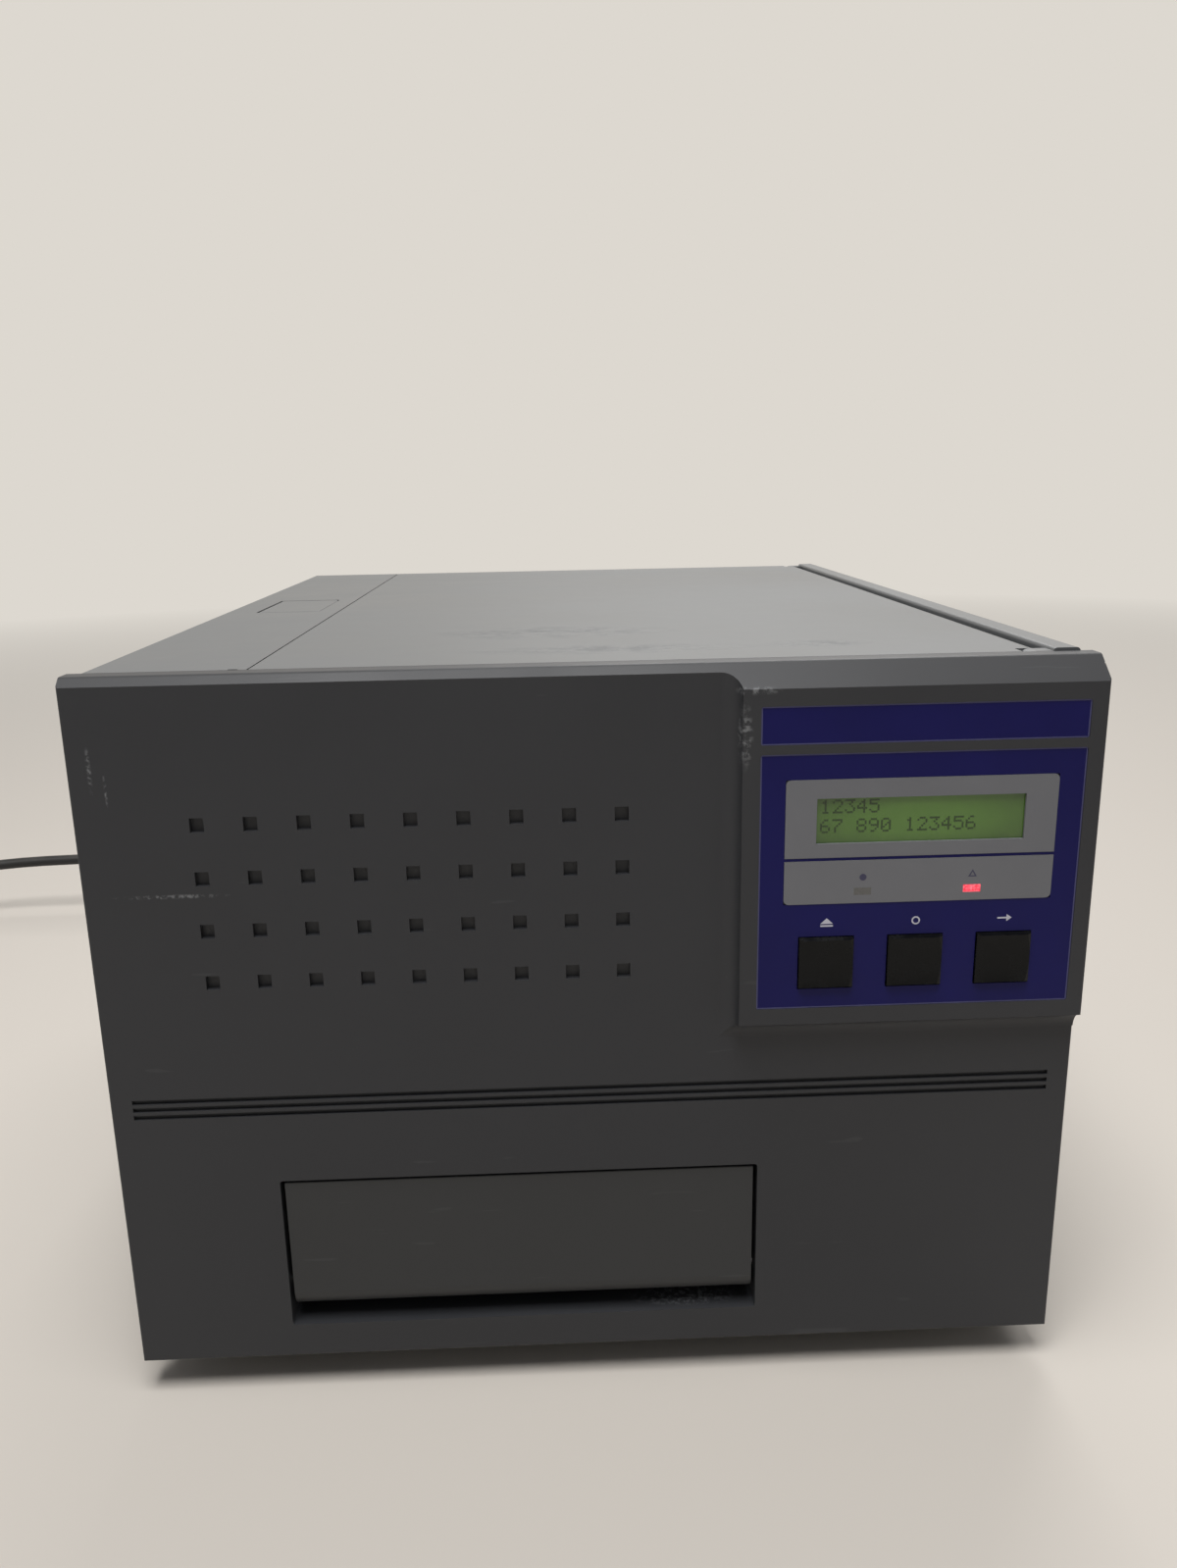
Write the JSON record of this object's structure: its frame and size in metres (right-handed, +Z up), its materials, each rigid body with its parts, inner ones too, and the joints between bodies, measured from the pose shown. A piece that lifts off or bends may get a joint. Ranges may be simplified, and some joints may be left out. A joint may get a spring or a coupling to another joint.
{
  "type": "disc label printer",
  "caption": "Desktop thermal printer for disc labels: moulded front with a proud control block, flap door over a motor-driven disc tray, ribbon mechanism under a lid that swings up, mains lead.",
  "frame": {"origin": "on the table at the middle of the printer without its mains lead", "axes": "+Z up, -Y is the front with the tray door, +X is to the right seen from the front"},
  "size_m": [0.6439, 0.4842, 0.2395],
  "materials": {
    "fascia_grey": "satin",
    "case_grey": "satin",
    "panel_blue": "satin",
    "bezel_grey": "satin",
    "window_green": "gloss",
    "lens_grey": "gloss",
    "lens_red": "gloss",
    "key_black": "gloss",
    "board_green": "satin",
    "steel": "satin",
    "zinc": "matte",
    "foot_rubber": "matte",
    "acetal": "satin",
    "tray_black": "matte",
    "hub_black": "satin",
    "brass": "satin",
    "core_grey": "satin",
    "ribbon_black": "gloss",
    "roller_rubber": "matte",
    "roller_silicone": "matte",
    "heat_sink": "satin",
    "fan_black": "matte",
    "cord_black": "satin"
  },
  "bodies": {
    "case": {"fascia": "fascia_grey", "name_strip": "panel_blue", "control_panel": "panel_blue", "display_bezel": "bezel_grey", "indicator_bezel": "bezel_grey", "display_window": "window_green", "display_module": "steel", "ready_lens": "lens_grey", "fault_lens": "lens_red", "control_board": "board_green", "door_pins": "steel", "chassis_base": "zinc", "feet": "foot_rubber", "left_cover": "case_grey", "right_cover": "case_grey", "rear_panel": "case_grey", "lid_hinge_pins": "steel", "left_frame_plate": "zinc", "right_frame_plate": "zinc", "frame_bars": "steel", "tray_rails": "acetal", "drive_motors": "zinc", "ribbon_web": "ribbon_black", "main_board": "board_green", "power_supply": "zinc", "fan_frame": "fan_black", "fan_guard": "steel", "mains_inlet": "fan_black", "switch_frame": "fan_black", "cord_connector": "cord_black", "power_cord": "cord_black", "cord_coil": "cord_black", "mains_plug": "cord_black"},
    "lid": {"lid": "case_grey"},
    "release_button": {"release_button": "case_grey"},
    "lid_latch": {"lid_latch": "acetal"},
    "tray": {"disc_tray": "tray_black", "disc_hub": "hub_black"},
    "tray_door": {"tray_door": "fascia_grey"},
    "tray_drive": {"tray_pinion": "acetal", "tray_gear": "acetal"},
    "tray_motor_gear": {"tray_motor_gear": "brass"},
    "platen": {"platen_roller": "roller_rubber", "platen_gear": "acetal"},
    "platen_motor_gear": {"platen_motor_gear": "brass"},
    "ribbon_supply": {"ribbon_supply_core": "core_grey", "ribbon_supply_roll": "ribbon_black"},
    "ribbon_takeup": {"ribbon_takeup_core": "core_grey", "ribbon_takeup_roll": "ribbon_black"},
    "film_supply": {"film_supply_spindle": "core_grey"},
    "film_takeup": {"film_takeup_spindle": "core_grey"},
    "head": {"head_arm": "zinc", "print_head": "heat_sink"},
    "transfer_cradle": {"transfer_cradle": "zinc"},
    "transfer_roller": {"transfer_roller": "roller_silicone"},
    "key_left": {"key_left": "key_black"},
    "key_middle": {"key_middle": "key_black"},
    "key_right": {"key_right": "key_black"},
    "fan_rotor": {"fan_rotor": "fan_black"},
    "power_rocker": {"power_rocker": "key_black"}
  },
  "joints": [
    {"name": "lid_hinge", "type": "hinge", "parent": "case", "child": "lid", "pos_m": [0.1337, 0.0062, 0.2346], "axis": [0, 1, 0], "range_deg": [0, 95]},
    {"name": "button_press", "type": "slide", "parent": "case", "child": "release_button", "axis": [0, 0, -1], "range_m": [0, 0.003], "stiffness_N_per_m": 250, "springref_m": -0.002},
    {"name": "latch_slide", "type": "slide", "parent": "case", "child": "lid_latch", "axis": [-1, 0, 0], "range_m": [0, 0.003]},
    {"name": "tray_slide", "type": "slide", "parent": "case", "child": "tray", "axis": [0, -1, 0], "range_m": [0, 0.185]},
    {"name": "door_hinge", "type": "hinge", "parent": "case", "child": "tray_door", "pos_m": [-0.02435, -0.1769, 0.0358], "axis": [1, 0, 0], "range_deg": [0, 88]},
    {"name": "tray_drive_turn", "type": "hinge", "parent": "case", "child": "tray_drive", "pos_m": [0.05, -0.09, 0.0565], "axis": [1, 0, 0], "range_deg": [0, 1059.97]},
    {"name": "tray_motor_turn", "type": "hinge", "parent": "case", "child": "tray_motor_gear", "pos_m": [0.059, -0.06702, 0.03722], "axis": [1, 0, 0], "range_deg": [-4239.89, 0]},
    {"name": "platen_turn", "type": "hinge", "parent": "case", "child": "platen", "pos_m": [-0.02435, -0.035, 0.132], "axis": [1, 0, 0], "continuous": true},
    {"name": "platen_motor_turn", "type": "hinge", "parent": "case", "child": "platen_motor_gear", "pos_m": [0.059, -0.022, 0.10948], "axis": [1, 0, 0], "continuous": true},
    {"name": "ribbon_supply_turn", "type": "hinge", "parent": "case", "child": "ribbon_supply", "pos_m": [-0.02435, 0.015, 0.1956], "axis": [1, 0, 0], "continuous": true},
    {"name": "ribbon_takeup_turn", "type": "hinge", "parent": "case", "child": "ribbon_takeup", "pos_m": [-0.02435, -0.085, 0.202], "axis": [1, 0, 0], "continuous": true},
    {"name": "film_supply_turn", "type": "hinge", "parent": "case", "child": "film_supply", "pos_m": [-0.02435, 0.077, 0.162], "axis": [1, 0, 0], "continuous": true},
    {"name": "film_takeup_turn", "type": "hinge", "parent": "case", "child": "film_takeup", "pos_m": [-0.02435, -0.123, 0.152], "axis": [1, 0, 0], "continuous": true},
    {"name": "head_lift", "type": "hinge", "parent": "case", "child": "head", "pos_m": [-0.02435, -0.013, 0.177], "axis": [1, 0, 0], "range_deg": [-15, 0]},
    {"name": "cradle_press", "type": "slide", "parent": "case", "child": "transfer_cradle", "axis": [0, 0, -1], "range_m": [0, 0.0015], "stiffness_N_per_m": 4000, "springref_m": -0.002},
    {"name": "transfer_roller_turn", "type": "hinge", "parent": "transfer_cradle", "child": "transfer_roller", "pos_m": [-0.02435, -0.107, 0.0879], "axis": [1, 0, 0], "continuous": true},
    {"name": "key_left_press", "type": "slide", "parent": "case", "child": "key_left", "axis": [0, 1, 0], "range_m": [0, 0.001], "stiffness_N_per_m": 300, "springref_m": -0.001},
    {"name": "key_middle_press", "type": "slide", "parent": "case", "child": "key_middle", "axis": [0, 1, 0], "range_m": [0, 0.001], "stiffness_N_per_m": 300, "springref_m": -0.001},
    {"name": "key_right_press", "type": "slide", "parent": "case", "child": "key_right", "axis": [0, 1, 0], "range_m": [0, 0.001], "stiffness_N_per_m": 300, "springref_m": -0.001},
    {"name": "fan_turn", "type": "hinge", "parent": "case", "child": "fan_rotor", "pos_m": [0.1, 0.17, 0.162], "axis": [0, 1, 0], "continuous": true},
    {"name": "rocker_turn", "type": "hinge", "parent": "case", "child": "power_rocker", "pos_m": [-0.11, 0.183, 0.078], "axis": [0, 0, 1], "range_deg": [-16, 0]}
  ],
  "couplings": [
    {"joint": "latch_slide", "follows": "button_press", "ratio": 1},
    {"joint": "door_hinge", "follows": "tray_slide", "rad_per_m": 8.3021},
    {"joint": "tray_drive_turn", "follows": "tray_slide", "rad_per_m": 100},
    {"joint": "tray_motor_turn", "follows": "tray_slide", "rad_per_m": -400},
    {"joint": "platen_motor_turn", "follows": "platen_turn", "ratio": -3.3333}
  ]
}
